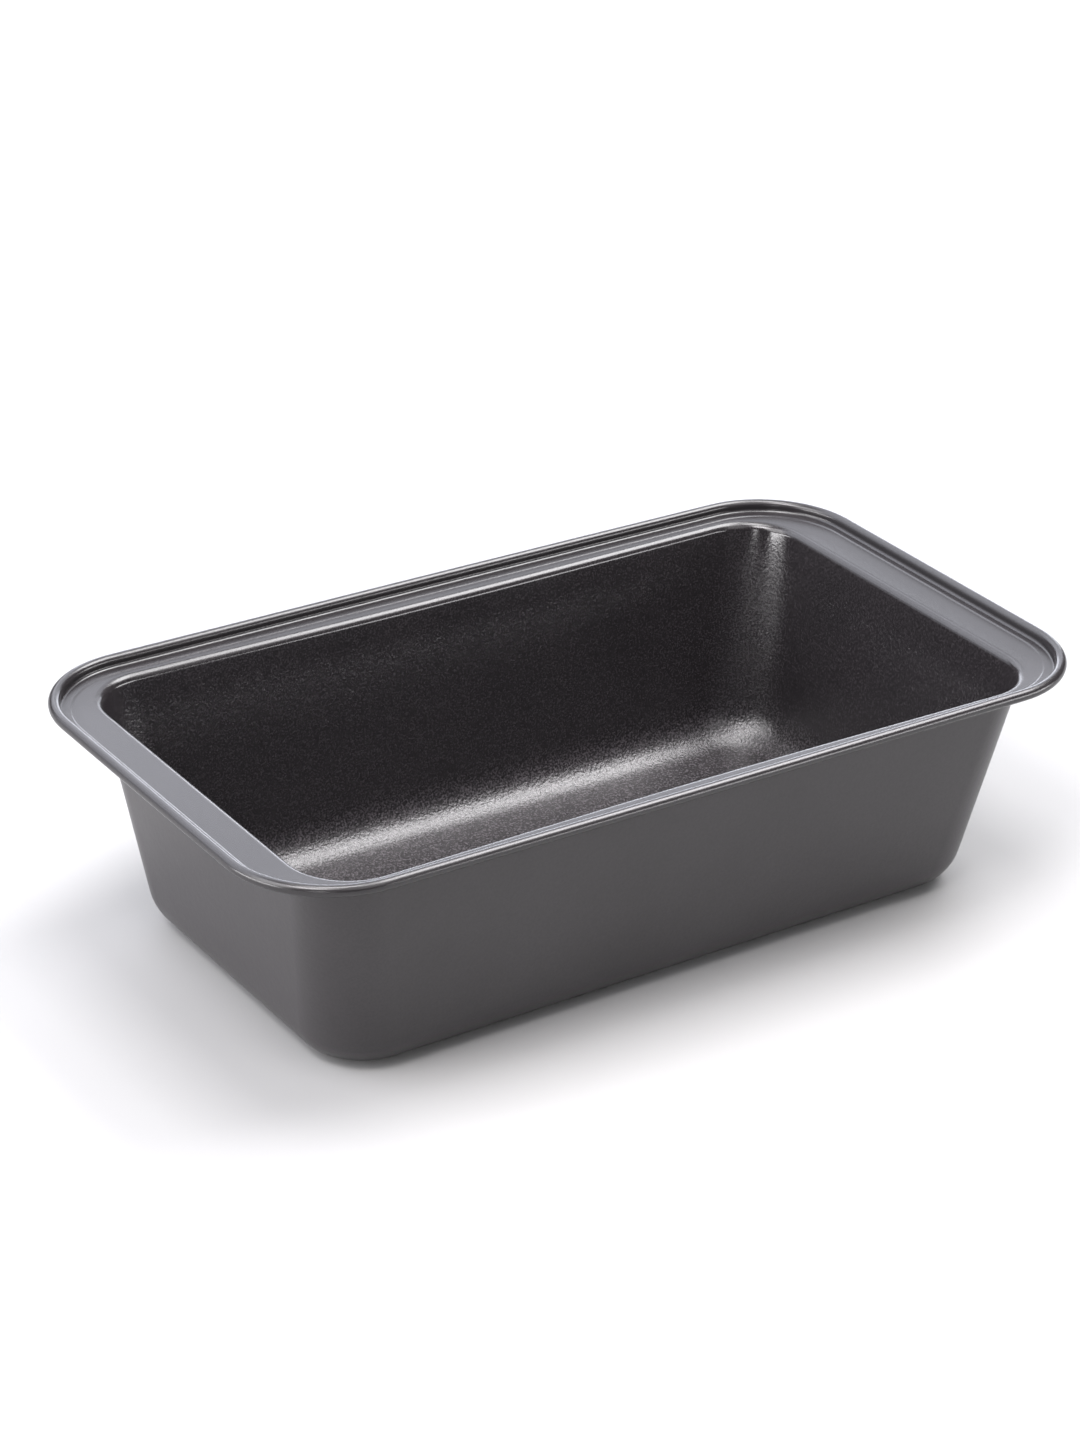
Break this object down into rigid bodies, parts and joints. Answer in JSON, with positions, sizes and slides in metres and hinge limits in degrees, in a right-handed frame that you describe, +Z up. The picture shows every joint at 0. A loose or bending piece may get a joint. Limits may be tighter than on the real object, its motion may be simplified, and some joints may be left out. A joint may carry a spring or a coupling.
{
  "type": "loaf pan",
  "caption": "Rectangular drawn steel loaf pan with drafted walls, rounded corners, a flat flange that widens into hand grips at the ends, and a wired rolled rim; grainy dark non-stick inside",
  "frame": {"origin": "middle of the flat underside of the base, on the surface the pan stands on", "axes": "+X along the pan's length towards one hand flange, +Y across its width, +Z up out of its mouth"},
  "size_m": [0.265, 0.15, 0.07],
  "materials": {
    "steel_sheet": "cold-rolled carbon steel, seen only at the cut edge inside the curl",
    "steel_wire": "drawn steel wire",
    "release_coating": "dark charcoal non-stick polymer film with fine metallic sparkle, grainy satin",
    "outer_coating": "smooth satin dark grey polymer film"
  },
  "bodies": {
    "root": {"pan_shell": "steel_sheet", "rim_wire": "steel_wire", "interior_release_coating": "release_coating", "exterior_coating": "outer_coating"}
  },
  "joints": []
}
